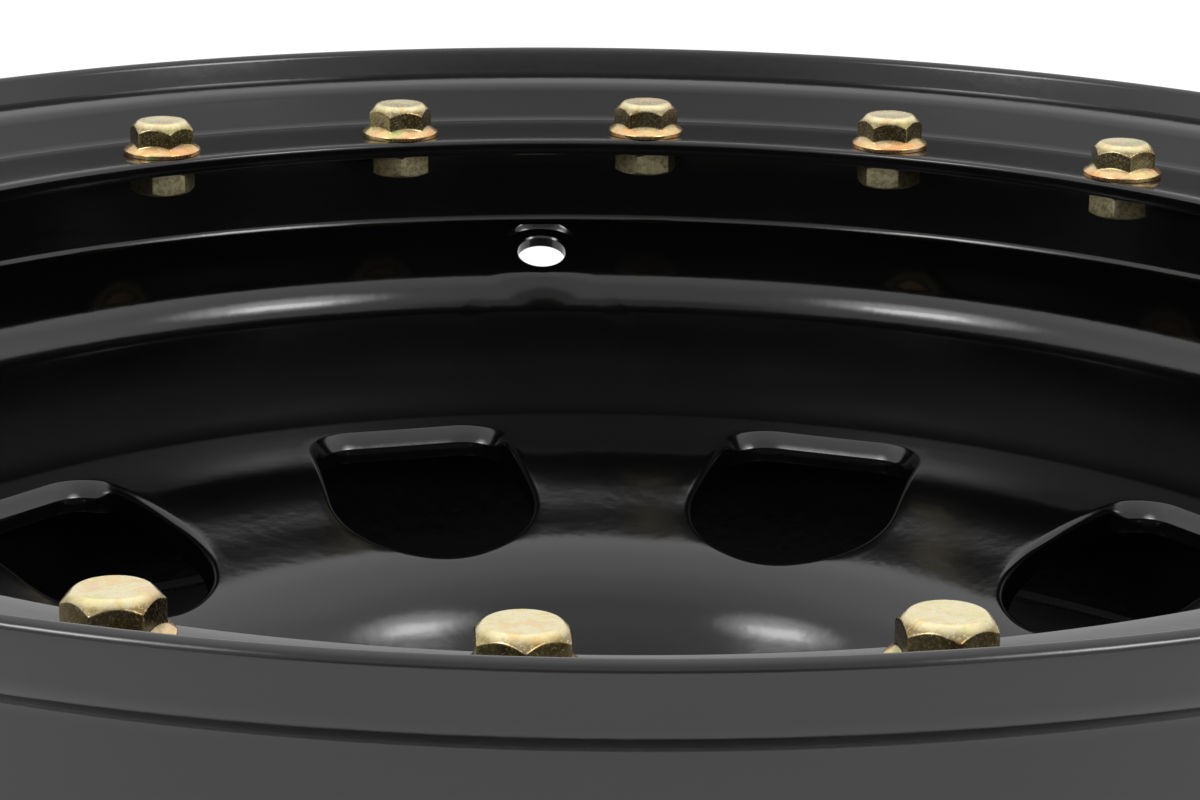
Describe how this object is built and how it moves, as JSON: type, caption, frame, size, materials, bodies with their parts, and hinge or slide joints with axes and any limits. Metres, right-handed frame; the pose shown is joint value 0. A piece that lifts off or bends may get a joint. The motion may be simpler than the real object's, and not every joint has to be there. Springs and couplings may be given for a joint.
{
  "type": "steel off-road wheel",
  "caption": "Gloss black pressed-steel wheel with D-shaped windows, a deep hub bowl and a bolted ring inside the outboard lip that imitates a beadlock.",
  "frame": {"origin": "centre of the centre bore in the plane of the hub mounting face", "axes": "+Z along the wheel's axis, outboard, towards the face with the ring of bolts; +Y through the valve hole"},
  "size_m": [0.4402, 0.4402, 0.2286],
  "materials": {
    "black_paint": "gloss black powder coat",
    "yellow_zinc": "yellow zinc plating, bright with pink and green tints",
    "dull_zinc": "yellow zinc plating, dull"
  },
  "bodies": {
    "root": {"rim_barrel": "black_paint", "wheel_disc": "black_paint", "beadlock_ring": "black_paint", "disc_weld_beads": "black_paint", "ring_weld_beads": "black_paint", "ring_bolt_01": "yellow_zinc", "ring_bolt_02": "yellow_zinc", "ring_bolt_03": "yellow_zinc", "ring_bolt_04": "yellow_zinc", "ring_bolt_05": "yellow_zinc", "ring_bolt_06": "yellow_zinc", "ring_bolt_07": "yellow_zinc", "ring_bolt_08": "yellow_zinc", "ring_bolt_09": "yellow_zinc", "ring_bolt_10": "yellow_zinc", "ring_bolt_11": "yellow_zinc", "ring_bolt_12": "yellow_zinc", "ring_bolt_13": "yellow_zinc", "ring_bolt_14": "yellow_zinc", "ring_bolt_15": "yellow_zinc", "ring_bolt_16": "yellow_zinc", "ring_bolt_17": "yellow_zinc", "ring_bolt_18": "yellow_zinc", "ring_bolt_19": "yellow_zinc", "ring_bolt_20": "yellow_zinc", "ring_nut_01": "dull_zinc", "ring_nut_02": "dull_zinc", "ring_nut_03": "dull_zinc", "ring_nut_04": "dull_zinc", "ring_nut_05": "dull_zinc", "ring_nut_06": "dull_zinc", "ring_nut_07": "dull_zinc", "ring_nut_08": "dull_zinc", "ring_nut_09": "dull_zinc", "ring_nut_10": "dull_zinc", "ring_nut_11": "dull_zinc", "ring_nut_12": "dull_zinc", "ring_nut_13": "dull_zinc", "ring_nut_14": "dull_zinc", "ring_nut_15": "dull_zinc", "ring_nut_16": "dull_zinc", "ring_nut_17": "dull_zinc", "ring_nut_18": "dull_zinc", "ring_nut_19": "dull_zinc", "ring_nut_20": "dull_zinc"}
  },
  "joints": []
}
